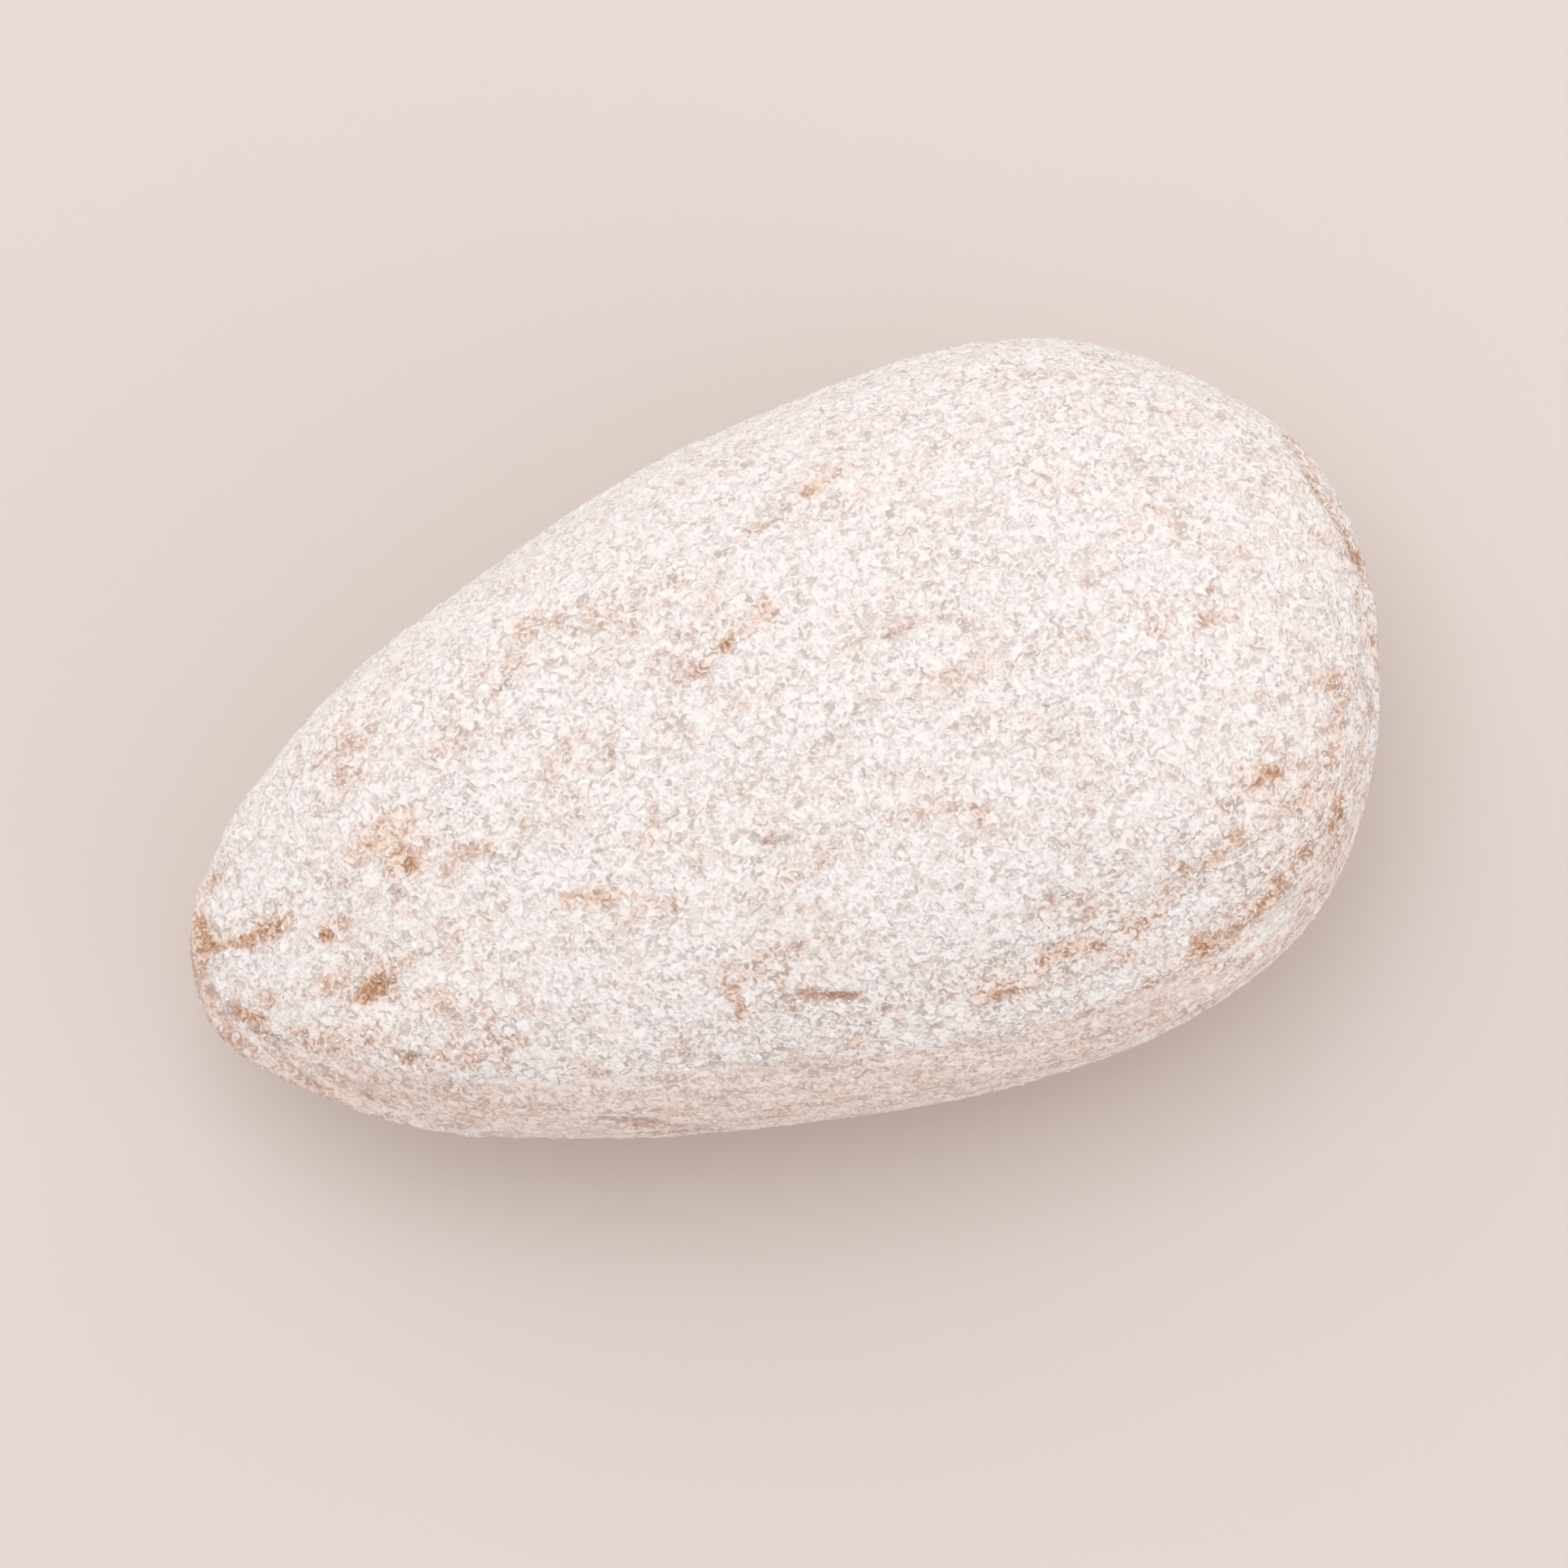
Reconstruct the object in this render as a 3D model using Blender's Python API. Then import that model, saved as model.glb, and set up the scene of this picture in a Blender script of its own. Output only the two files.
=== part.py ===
"""A filled salty licorice candy: one piece of boiled sugar, plump and almond-shaped, dusted with powder.

+X runs from the pinched tip to the round butt and +Z is up. The origin is on the surface that the
candy rests on, under the middle of its box. Lengths are in metres.
"""

import math

import bmesh
import bpy
from mathutils import Matrix, Vector, noise

MM = 0.001

# Driving dimensions
LENGTH = 30.0 * MM
WIDTH = 17.7 * MM
THICKNESS = 12.6 * MM

# How it lies: the butt end lifts until the belly touches under the centre of weight
REST_TILT = math.radians(2.6)
BASE_CUT = 0.14 * MM  # how deep the flat that it rests on is rubbed into the belly

# The plan and the side profile, as shares of the length counted from the tip
WIDEST_AT = 0.675
TIP_FULLNESS = 1.68  # a lower power draws the plan in earlier towards the tip
BUTT_FULLNESS = 2.25
TIP_DEPTH_FULLNESS = 2.0  # the same powers for the side profile
BUTT_DEPTH_FULLNESS = 2.4
BUTT_LEAN = 1.6 * MM  # how far to the left the end of the butt leans
BUTT_LEAN_POWER = 8
SECTION_SQUARENESS = 2.25  # 2 is an ellipse, and a higher power fills the corners

# Facets that the pinching tool and the other candies pressed into the soft sugar:
# the way each faces, how far inside the rounded form it lies, and how softly it runs out
FACETS = (
    ((-1.0, 0.12, 0.10), 0.16 * MM, 0.20 * MM),
    ((-0.66, -0.74, -0.10), 0.12 * MM, 0.30 * MM),
    ((-0.55, 0.10, 0.80), 0.20 * MM, 0.50 * MM),
    ((-0.40, 0.60, -0.70), 0.35 * MM, 0.50 * MM),
    ((0.06, -0.72, 0.70), 0.25 * MM, 0.35 * MM),
    ((0.80, 0.30, -0.50), 0.30 * MM, 0.60 * MM),
)
SOFT_EDGE_REACH = 6  # a facet's soft edge is nothing this many softnesses outside it

# Unevenness of the whole form: the length of each wave and its height
LUMPS = ((9.0 * MM, 0.20 * MM), (4.0 * MM, 0.09 * MM))
NOISE_OFFSET = Vector((5.3, 2.6, 7.1))

# Lengthwise ribs drawn into the sugar rope, strongest on the flanks
RIB_COUNT = 30
RIB_HEIGHT = 0.06 * MM
RIB_ON_CROWN = 0.35  # their height over the crown and the belly, as a share of that on the flanks
RIB_WANDER = 0.5  # in waves of one rib
RIB_WANDER_LENGTH = 7.0 * MM
RIB_PATCH_LENGTH = 8.0 * MM
RIB_PATCHES = (0.6, 0.8)  # the mean height and how much it comes and goes
RIB_FADE_POWER = 3  # how early they fade out before the two ends

# The seam round the waist where the two pressed halves met: a wavy crease with a lip on each side
SEAM_DEPTH = 0.17 * MM
SEAM_HALF_WIDTH = 0.42 * MM
SEAM_LIP = 0.35  # the lips' height as a share of the crease's depth
SEAM_PATCH_LENGTH = 5.0 * MM
SEAM_PATCHES = (0.8, 0.7)
SEAM_WAVE = 0.55 * MM
SEAM_WAVE_LENGTH = 9.0 * MM
SEAM_REACH = 3.0 * MM  # how far above and below itself the wavy seam drags the skin along

# Pits left by burst bubbles in the top: where each lies along and across, its radius and its depth
PITS = (
    ((-10.4 * MM, -1.75 * MM), 0.80 * MM, 0.26 * MM),
    ((-11.3 * MM, -0.10 * MM), 0.60 * MM, 0.14 * MM),
    ((8.3 * MM, -5.9 * MM), 0.85 * MM, 0.16 * MM),
    ((5.6 * MM, 5.4 * MM), 0.70 * MM, 0.12 * MM),
)

# The skin's mesh: four columns to a rib, and rings from the tip to the butt
COLUMNS = 4 * RIB_COUNT
RINGS = 46
SUGAR_COLOUR = (0.82, 0.75, 0.72, 1.0)
SUGAR_ROUGHNESS = 0.9


def clear_scene():
    for existing in list(bpy.data.objects):
        bpy.data.objects.remove(existing, do_unlink=True)


def dusted_sugar():
    """Matte, pale sugar: the powder hides the gloss of the boiled sugar under it."""
    material = bpy.data.materials.new("dusted_sugar")
    material.use_nodes = True
    shader = material.node_tree.nodes["Principled BSDF"]
    shader.inputs["Base Color"].default_value = SUGAR_COLOUR
    shader.inputs["Roughness"].default_value = SUGAR_ROUGHNESS
    shader.inputs["Metallic"].default_value = 0.0
    return material


def unit_skin():
    """A ball of radius 1 with its poles on X, so that its columns run the way of the ribs."""
    skin = bmesh.new()
    poles_on_x = Matrix.Rotation(math.pi / 2, 4, "Y")
    bmesh.ops.create_uvsphere(
        skin, u_segments=COLUMNS, v_segments=RINGS, radius=1.0, matrix=poles_on_x
    )
    return skin


def turn_of(direction):
    """The angle round the long axis: 0 at the left flank, a quarter turn at the top."""
    return math.atan2(direction.z, direction.y)


def station(along):
    """Share of the length, from the tip, for a place from -1 at the tip to 1 at the butt."""
    return WIDEST_AT + 0.5 * along + (0.5 - WIDEST_AT) * along * along


def beyond_widest(share):
    """How far a share of the length is from the widest place: 0 there and 1 at either end."""
    reach = WIDEST_AT if share < WIDEST_AT else 1 - WIDEST_AT
    return min(1.0, abs(share - WIDEST_AT) / reach)


def fullness(share, tip_power, butt_power):
    """How much of the greatest half width or half height is left at that share of the length."""
    power = tip_power if share < WIDEST_AT else butt_power
    return math.sqrt(1 - beyond_widest(share) ** power)


def lean(share):
    """How far the end of the butt has bent to the left there."""
    if share < WIDEST_AT:
        return 0.0
    return BUTT_LEAN * beyond_widest(share) ** BUTT_LEAN_POWER


def squared(value):
    """A sine or cosine pushed outwards, which turns an ellipse into a fuller section."""
    return math.copysign(abs(value) ** (2 / SECTION_SQUARENESS), value)


def bell(distance, radius):
    """1 in the middle, falling smoothly to almost nothing at twice the radius."""
    return math.exp(-((distance / radius) ** 2))


def patches(place, wave_length, mean_and_spread, offset):
    """A factor that comes and goes over the skin, and is never below nothing."""
    mean, spread = mean_and_spread
    return max(0.0, mean + spread * noise.noise(place / wave_length + offset))


def seam_offset(place):
    """How far the wavy seam lies above the waist there."""
    on_the_waist = Vector((place.x, place.y, 0))
    return SEAM_WAVE * noise.noise(on_the_waist / SEAM_WAVE_LENGTH + 3 * NOISE_OFFSET)


def smooth_form(direction):
    """The place on the smooth candy of a direction on the unit ball, with the waist at height 0."""
    share = station(direction.x)
    turn = turn_of(direction)
    across = WIDTH / 2 * fullness(share, TIP_FULLNESS, BUTT_FULLNESS)
    up = THICKNESS / 2 * fullness(share, TIP_DEPTH_FULLNESS, BUTT_DEPTH_FULLNESS)
    place = Vector(
        (
            (share - 0.5) * LENGTH,
            lean(share) + across * squared(math.cos(turn)),
            up * squared(math.sin(turn)),
        )
    )
    place.z += seam_offset(place) * bell(place.z, SEAM_REACH)
    return place


def press_facet(skin, facing, depth, softness):
    """Pushes in what stands beyond a plane, with a soft edge round the flat."""
    normal = Vector(facing).normalized()
    plane = max(vertex.co.dot(normal) for vertex in skin.verts) - depth
    for vertex in skin.verts:
        beyond = (vertex.co.dot(normal) - plane) / softness
        if beyond > -SOFT_EDGE_REACH:
            vertex.co -= normal * softness * math.log1p(math.exp(beyond))


def lump_height(place):
    return sum(
        height * noise.noise(place / wave_length + NOISE_OFFSET) for wave_length, height in LUMPS
    )


def rib_height(place, direction):
    """Ribs run from end to end, wander a little and fade over the crown, the belly and the ends."""
    turn = turn_of(direction)
    wander = RIB_WANDER * noise.noise(place / RIB_WANDER_LENGTH - NOISE_OFFSET)
    wave = math.cos(RIB_COUNT * turn + 2 * math.pi * wander)
    wave *= patches(place, RIB_PATCH_LENGTH, RIB_PATCHES, 2 * NOISE_OFFSET)
    on_flank = RIB_ON_CROWN + (1 - RIB_ON_CROWN) * math.cos(turn) ** 2
    from_ends = math.hypot(direction.y, direction.z) ** RIB_FADE_POWER
    return RIB_HEIGHT * wave * on_flank * from_ends


def seam_height(place):
    """The crease between the two halves, uneven in depth, with a low lip on each side."""
    away = abs(place.z - seam_offset(place))
    crease = bell(away, SEAM_HALF_WIDTH)
    lip = SEAM_LIP * bell(away - 2 * SEAM_HALF_WIDTH, SEAM_HALF_WIDTH)
    return SEAM_DEPTH * patches(place, SEAM_PATCH_LENGTH, SEAM_PATCHES, NOISE_OFFSET) * (lip - crease)


def pit_height(place):
    """Pits lie on the top face only."""
    if place.z < 0:
        return 0.0
    return -sum(
        depth * bell(math.hypot(place.x - along, place.y - across), radius)
        for (along, across), radius, depth in PITS
    )


def add_relief(skin, directions):
    """Moves each point along the skin's own normal by what the lumps, ribs, seam and pits give."""
    skin.normal_update()
    for vertex, direction in zip(skin.verts, directions):
        place = vertex.co.copy()
        height = lump_height(place) + rib_height(place, direction)
        height += seam_height(place) + pit_height(place)
        vertex.co = place + vertex.normal * height


def rub_base_flat(skin):
    """Tips the candy to the way it lies and cuts its belly off flat there."""
    bmesh.ops.rotate(skin, verts=skin.verts, matrix=Matrix.Rotation(-REST_TILT, 3, "Y"))
    lowest = min(vertex.co.z for vertex in skin.verts)
    level = Vector((0, 0, lowest + BASE_CUT))
    everything = skin.verts[:] + skin.edges[:] + skin.faces[:]
    cut = bmesh.ops.bisect_plane(
        skin, geom=everything, plane_co=level, plane_no=(0, 0, -1), clear_outer=True
    )
    rim = [piece for piece in cut["geom_cut"] if isinstance(piece, bmesh.types.BMEdge)]
    bmesh.ops.contextual_create(skin, geom=rim)


def fit_box(skin):
    """Scales the candy to its stated size and puts the middle of its base on the origin."""
    lows = [min(vertex.co[axis] for vertex in skin.verts) for axis in range(3)]
    highs = [max(vertex.co[axis] for vertex in skin.verts) for axis in range(3)]
    for vertex in skin.verts:
        for axis, size in enumerate((LENGTH, WIDTH, THICKNESS)):
            share = (vertex.co[axis] - lows[axis]) / (highs[axis] - lows[axis])
            vertex.co[axis] = size * (share if axis == 2 else share - 0.5)


def build_candy():
    skin = unit_skin()
    directions = [vertex.co.copy() for vertex in skin.verts]
    for vertex in skin.verts:
        vertex.co = smooth_form(vertex.co)
    for facing, depth, softness in FACETS:
        press_facet(skin, facing, depth, softness)
    add_relief(skin, directions)
    rub_base_flat(skin)
    fit_box(skin)
    bmesh.ops.recalc_face_normals(skin, faces=skin.faces)

    mesh = bpy.data.meshes.new("candy")
    skin.to_mesh(mesh)
    skin.free()
    mesh.shade_smooth()
    mesh.materials.append(dusted_sugar())
    candy = bpy.data.objects.new("candy", mesh)
    bpy.context.scene.collection.objects.link(candy)
    return candy


def main():
    clear_scene()
    build_candy()


main()
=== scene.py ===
"""The looks of a filled salty licorice candy: boiled sugar under a coat of fine pale powder.

+X runs from the pinched tip to the round butt, +Y to the side that the photograph shows uppermost,
and +Z is up. Lengths are in metres, given as so many MM.
"""

import logging
import math
from collections.abc import Iterable, Mapping
from dataclasses import astuple, dataclass
from enum import Enum

import bpy
import numpy as np
from mathutils import Euler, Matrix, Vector, noise


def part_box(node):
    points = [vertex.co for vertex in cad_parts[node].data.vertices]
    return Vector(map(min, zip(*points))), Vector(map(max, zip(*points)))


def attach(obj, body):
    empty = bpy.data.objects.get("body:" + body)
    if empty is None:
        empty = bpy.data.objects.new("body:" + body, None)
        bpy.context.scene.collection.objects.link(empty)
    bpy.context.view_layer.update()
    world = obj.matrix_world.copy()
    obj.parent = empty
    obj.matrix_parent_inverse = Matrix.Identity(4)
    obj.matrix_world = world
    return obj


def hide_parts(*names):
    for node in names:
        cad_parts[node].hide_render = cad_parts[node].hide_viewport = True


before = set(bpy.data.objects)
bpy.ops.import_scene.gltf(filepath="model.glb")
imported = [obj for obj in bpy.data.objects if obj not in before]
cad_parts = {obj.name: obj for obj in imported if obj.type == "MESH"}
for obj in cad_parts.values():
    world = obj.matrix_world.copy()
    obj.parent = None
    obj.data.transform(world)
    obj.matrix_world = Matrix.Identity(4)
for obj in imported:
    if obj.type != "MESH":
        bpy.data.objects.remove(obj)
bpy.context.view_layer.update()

MM = 0.001
BODY = "root"
NODE = "candy"

# The photograph: the candy's own length ties its pixels to millimetres
CANDY_LENGTH = 30.07 * MM
CANDY_PIXELS = 566.75
PIXEL = CANDY_LENGTH / CANDY_PIXELS
FRAME_PIXELS = 720.0

log = logging.getLogger("candy")

Array = np.ndarray
Span = tuple[float, float]
Colour = tuple[float, float, float, float]
Triple = tuple[float, float, float]
Socket = bpy.types.NodeSocket

# How smooth noise is built: where a seed moves it, and how each finer wave follows the last, half as
# high and twice as fine
SEED_WAY = np.array((1.0, 1.7, 2.3))
FALL = 1.0
FINENESS = 2.0

# How many times as long a pattern's spots are along x, y and z: not drawn out, drawn out a little or
# far along the candy, and drawn out level all round it
ROUND: Triple = (1.0, 1.0, 1.0)
OVAL: Triple = (2.2, 1.0, 1.0)
RIBBED: Triple = (4.0, 1.0, 1.0)
LEVEL: Triple = (6.0, 6.0, 1.0)


def linear(hex_colour: str) -> Colour:
    """Turns an sRGB colour into the linear light that Blender's sockets take.

    Args:
        hex_colour: six hex digits, such as "F4ECE7".

    Returns:
        Red, green and blue from 0 to 1, and an alpha of 1.
    """
    channels = [int(hex_colour[place : place + 2], 16) / 255 for place in (0, 2, 4)]
    light = [c / 12.92 if c <= 0.04045 else ((c + 0.055) / 1.055) ** 2.4 for c in channels]
    return (light[0], light[1], light[2], 1.0)


def add_node(
    tree: bpy.types.NodeTree, kind: str, settings: Mapping[str | int, object] | None = None
) -> bpy.types.Node:
    """Adds a node to a tree with its settings and its links.

    Args:
        tree: the material's or the modifier's node tree.
        kind: Blender's name for the node.
        settings: values by the name of a property, or by the name or number of an input. A value
            that is another node's socket is linked to the input.

    Returns:
        The new node.
    """
    node = tree.nodes.new(kind)
    for name, value in (settings or {}).items():
        if isinstance(value, Socket):
            tree.links.new(value, node.inputs[name])
        elif isinstance(name, str) and hasattr(node, name):
            setattr(node, name, value)
        else:
            node.inputs[name].default_value = value
    return node


def weigh(
    tree: bpy.types.NodeTree,
    terms: Iterable[tuple[Socket, Socket | float]],
    start: Socket | float = 0.0,
) -> Socket:
    """Adds up values, each times its own weight.

    Args:
        tree: the material's node tree.
        terms: pairs of a value and its weight.
        start: what the sum starts from.

    Returns:
        The sum.
    """
    total = start
    for value, weight in terms:
        total = add_node(
            tree, "ShaderNodeMath", {"operation": "MULTIPLY_ADD", 0: value, 1: weight, 2: total}
        ).outputs[0]
    return total


def fade(
    tree: bpy.types.NodeTree,
    value: Socket,
    span: Span,
    under: Socket | Colour,
    over: Socket | Colour,
    most: float = 1.0,
    way: str = "MIX",
) -> Socket:
    """Lays one colour over another as a value goes from one end of a span to the other.

    Args:
        tree: the material's node tree.
        value: what decides.
        span: the value that shows none of the upper colour, and the one that shows it most.
        under: the colour below.
        over: the colour on top.
        most: how much of the upper colour shows at most.
        way: how the two are mixed.

    Returns:
        The mixed colour.
    """
    share = add_node(
        tree,
        "ShaderNodeMapRange",
        {
            "interpolation_type": "SMOOTHSTEP",
            "Value": value,
            "From Min": span[0],
            "From Max": span[1],
            "To Max": most,
        },
    ).outputs["Result"]
    mix = {"data_type": "RGBA", "blend_type": way, 0: share, 6: under, 7: over}
    return add_node(tree, "ShaderNodeMix", mix).outputs[2]


def select_only(piece: bpy.types.Object) -> None:
    """Makes one object the active one and the only one selected.

    Args:
        piece: the object that the next operators act on.
    """
    bpy.ops.object.select_all(action="DESELECT")
    piece.select_set(True)
    bpy.context.view_layer.objects.active = piece


def apply_modifier(piece: bpy.types.Object, kind: str, **settings: object) -> None:
    """Adds a modifier with its settings and applies it.

    Args:
        piece: the object to change.
        kind: Blender's name for the modifier.
        settings: the modifier's properties.
    """
    select_only(piece)
    modifier = piece.modifiers.new(kind.lower(), kind)
    for name, value in settings.items():
        setattr(modifier, name, value)
    bpy.ops.object.modifier_apply(modifier=modifier.name)


def waves(
    places: Array, length: float, octaves: int = 1, seed: float = 0.0, stretch: Triple = ROUND
) -> Array:
    """Smooth noise at each place.

    Args:
        places: one row of x, y and z for each place.
        length: the length of the longest wave.
        octaves: how many finer waves are added, each half as long and half as high.
        seed: moves the pattern elsewhere.
        stretch: how far the waves are drawn out along x, y and z.

    Returns:
        One value from about -1 to 1 for each place.
    """
    shift = Vector(seed * SEED_WAY)
    return np.array(
        [
            noise.fractal(Vector(row) + shift, FALL, FINENESS, octaves)
            for row in places / (length * np.array(stretch))
        ]
    )


def smooth_step(values: Array, low: float, high: float) -> Array:
    """Rises smoothly from 0 at low to 1 at high.

    Args:
        values: what is compared with the two limits.
        low: where the rise begins.
        high: where the rise ends; below low, the result falls instead.

    Returns:
        One value from 0 to 1 for each value.
    """
    share = np.clip((values - low) / (high - low), 0.0, 1.0)
    return share * share * (3.0 - 2.0 * share)


def bell(values: Array, middle: float, half_width: float) -> Array:
    """Rises to 1 at the middle and falls smoothly to 0 on both sides of it.

    Args:
        values: what is compared with the middle.
        middle: where the rise is full.
        half_width: how far from the middle it has mostly fallen.

    Returns:
        One value from 0 to 1 for each value.
    """
    return np.exp(-(((values - middle) / half_width) ** 2))


@dataclass
class Skin:
    """The points of the body's fine skin.

    Attributes:
        mesh: the skin's mesh.
        places: one row of x, y and z for each point.
        normals: the points' normals.
        foot: how high above the floor the skin is free to move in full.
    """

    mesh: bpy.types.Mesh
    places: Array
    normals: Array
    foot: float = 0.15 * MM

    @classmethod
    def read(cls, mesh: bpy.types.Mesh) -> "Skin":
        """Reads the skin's points.

        Args:
            mesh: the skin's mesh.

        Returns:
            The skin.
        """
        flat = np.empty(len(mesh.vertices) * 3)
        mesh.vertices.foreach_get("co", flat)
        places = flat.reshape(-1, 3).copy()
        mesh.vertices.foreach_get("normal", flat)
        normals = flat.reshape(-1, 3).copy()
        return cls(mesh, places, normals)

    def hollows(self, rounds: int = 16) -> Array:
        """How far each point lies below the mean of the skin round it.

        Args:
            rounds: how many steps from point to point the mean reaches.

        Returns:
            A depth in metres, above nothing in a crease or a pit.
        """
        count = len(self.places)
        ends = np.empty(len(self.mesh.edges) * 2, dtype=np.int64)
        self.mesh.edges.foreach_get("vertices", ends)
        ends = ends.reshape(-1, 2)
        meets = np.bincount(ends.ravel(), minlength=count).astype(float)
        mean = self.places.copy()
        for _ in range(rounds):
            total = np.zeros_like(mean)
            for here, there in ((0, 1), (1, 0)):
                for axis in range(3):
                    total[:, axis] += np.bincount(
                        ends[:, here], weights=mean[ends[:, there], axis], minlength=count
                    )
            mean = total / meets[:, None]
        return ((mean - self.places) * self.normals).sum(axis=1)

    def raise_by(self, height: Array) -> None:
        """Moves each point out along its normal, with the flat foot left where it is.

        Args:
            height: how far each point moves.
        """
        free = smooth_step(self.places[:, 2], 0.0, self.foot)
        moved = self.places + self.normals * (height * free)[:, None]
        moved[:, 2] = moved[:, 2].clip(0.0)
        self.mesh.vertices.foreach_set("co", moved.ravel())
        self.mesh.update()

    def store(self, name: str, values: Array) -> None:
        """Keeps one value, or one row of three, at each point for the materials to read.

        Args:
            name: the attribute's name.
            values: what is kept.
        """
        kind, key = ("FLOAT", "value") if values.ndim == 1 else ("FLOAT_VECTOR", "vector")
        attribute = self.mesh.attributes.new(name, kind, "POINT")
        attribute.data.foreach_set(key, values.ravel().astype(np.float32))


class WearAndShade(Enum):
    """How a mark shows: how bare it is, how deep in millimetres, and how much painted shade its folds
    get, or lose where it is below 0.
    """

    # More powder than round it, and less
    FULL = (-0.34, 0.0, 0.0)
    THIN = (0.18, 0.0, 0.0)
    # Tan where the sugar shows through, with a little painted shade in a streak's folds and less than
    # round it in a soft patch's
    STREAK = (0.36, 0.015, 0.04)
    SOFT = (0.60, 0.0, -0.08)
    SCUFF = (0.72, 0.05, 0.0)
    # Grey-brown hollows and lines, darkened by painted shade in their folds where light hardly reaches,
    # and a broken-out one
    CREASE = (0.26, 0.08, 0.35)
    LINE = (0.08, 0.06, 0.38)
    PIT = (0.66, 0.14, 0.0)


@dataclass(frozen=True)
class Mark:
    """One mark on the top of the candy, drawn along a short line.

    Attributes:
        wear_and_shade: how it shows, with any painted shade in its folds.
        start: where its line starts, along and across the candy, in millimetres.
        end: where its line ends.
        half_width: how far it spreads to each side of the line, in millimetres.
        fringe: how far its faint edge reaches, in half widths.
        raggedness: how far that edge wanders in and out, in half widths.
        narrowest: what is left of it where the edge wanders in, in half widths.
        shortest: the least length that its line counts as having, in millimetres.
    """

    wear_and_shade: WearAndShade
    start: tuple[float, float]
    end: tuple[float, float]
    half_width: float
    fringe: float = 1.7
    raggedness: float = 1.3
    narrowest: float = 0.1
    shortest: float = 0.01

    def cover(self, places: Array, ragged: Array) -> Array:
        """How strongly the mark shows at each place, fading softly to its edge.

        Args:
            places: one row of x, y and z for each place.
            ragged: noise from about -1 to 1 that makes the mark's edge uneven.

        Returns:
            1 in the middle of the mark, and 0 outside it.
        """
        first, last = np.array(self.start) * MM, np.array(self.end) * MM
        line = last - first
        square = max(float(line @ line), (self.shortest * MM) ** 2)
        share = np.clip((places[:, :2] - first) @ line / square, 0.0, 1.0)
        away = np.linalg.norm(places[:, :2] - first - share[:, None] * line, axis=1)
        widths = (self.fringe + self.raggedness * ragged).clip(self.narrowest)
        return smooth_step(away, self.half_width * MM * widths, 0.0)


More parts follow.
